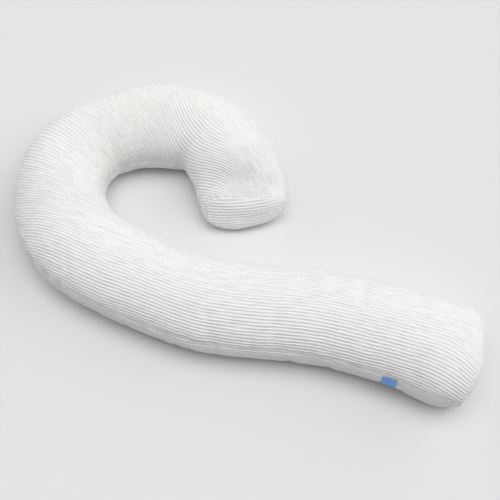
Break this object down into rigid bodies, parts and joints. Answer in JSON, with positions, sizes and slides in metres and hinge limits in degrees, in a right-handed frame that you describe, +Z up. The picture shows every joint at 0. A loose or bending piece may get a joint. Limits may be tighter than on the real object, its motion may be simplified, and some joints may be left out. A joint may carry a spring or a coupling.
{
  "type": "hook-shaped body pillow",
  "caption": "Long filled body pillow bent into a hook, striped knit cover, oval panels at both ends and a plain tab in the side seam.",
  "frame": {"origin": "middle of the bounding box, at the height of the surface the pillow lies on", "axes": "+X towards the free end of the straight leg, +Y towards the top of the hook, +Z up from the flattened underside"},
  "size_m": [1.3973, 1.1126, 0.1943],
  "materials": {
    "cover_knit": "matte",
    "label_tape": "satin"
  },
  "bodies": {
    "root": {"pillow_body": "cover_knit", "leg_end_panel": "cover_knit", "hook_end_panel": "cover_knit", "seam_label": "label_tape"}
  },
  "joints": []
}
